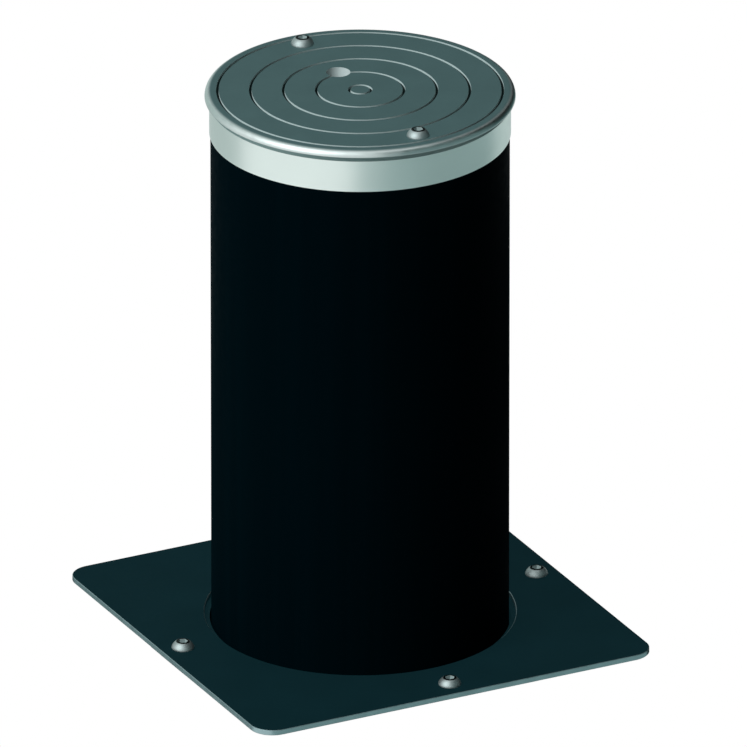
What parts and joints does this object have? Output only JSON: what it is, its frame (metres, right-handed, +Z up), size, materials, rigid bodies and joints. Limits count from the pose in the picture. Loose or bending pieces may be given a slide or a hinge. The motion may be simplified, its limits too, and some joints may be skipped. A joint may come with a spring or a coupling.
{
  "type": "semi-automatic bollard",
  "caption": "Black steel rising bollard with a bright band, grooved head and key hole, on a square cover plate, with its buried casing, gas spring and key-worked latch.",
  "frame": {"origin": "on the post's axis at finished ground level, which is the underside of the cover plate", "axes": "+Z up along the post, +Y from the axis towards the key hole, X and Y square to the cover plate's edges"},
  "size_m": [0.405, 0.405, 1.2306],
  "materials": {
    "plate_paint": "dark blue-green satin paint",
    "post_paint": "black satin paint",
    "head_metal": "turned steel, matt on top and bright on the lip",
    "bright_steel": "bright stainless steel",
    "galvanised": "dull hot-dip galvanised",
    "zinc_steel": "zinc plated",
    "spring_paint": "black gloss paint",
    "nylon": "natural nylon",
    "rubber": "black rubber",
    "bronze": "turned bronze"
  },
  "bodies": {
    "casing": {"cover_plate": "plate_paint", "cover_screws": "bright_steel", "guide_flange": "plate_paint", "wiper_seal": "rubber", "guide_bush": "nylon", "retaining_ring": "galvanised", "retaining_screws": "zinc_steel", "stop_ring": "rubber", "casing_rim": "galvanised", "weld_nuts": "zinc_steel", "casing_shell": "galvanised", "casing_base": "galvanised", "anchor_claws": "galvanised", "latch_rail": "galvanised", "guide_rail": "galvanised", "base_buffers": "rubber", "gas_spring_bracket": "galvanised", "gas_spring_pin": "zinc_steel", "gas_spring_cylinder": "spring_paint", "gas_spring_gland": "zinc_steel"},
    "post": {"bollard_tube": "post_paint", "head_band": "bright_steel", "head_cap": "head_metal", "head_screws": "bright_steel", "head_lugs": "galvanised", "carrier_plate": "galvanised", "upper_bush": "bronze", "foot_plate": "galvanised", "lower_bush": "bronze", "gas_spring_rod": "bright_steel", "gas_spring_piston": "zinc_steel", "rod_nuts": "zinc_steel", "latch_housing": "galvanised", "housing_screws": "zinc_steel"},
    "lock": {"lock_spindle": "bright_steel", "spindle_collar": "zinc_steel", "crank": "zinc_steel"},
    "latch": {"latch_bolt": "zinc_steel"}
  },
  "joints": [
    {"name": "post_lift", "type": "slide", "parent": "casing", "child": "post", "axis": [0, 0, 1], "range_m": [-0.514, 0], "stiffness_N_per_m": 170, "springref_m": 3.2},
    {"name": "lock_turn", "type": "hinge", "parent": "post", "child": "lock", "pos_m": [0, 0.0443, 0], "axis": [0, 0, 1], "range_deg": [0, 90]},
    {"name": "latch_slide", "type": "slide", "parent": "post", "child": "latch", "axis": [0, 1, 0], "range_m": [0, 0.012]}
  ],
  "couplings": [
    {"joint": "lock_turn", "follows": "latch_slide", "rad_per_m": 130.9}
  ]
}
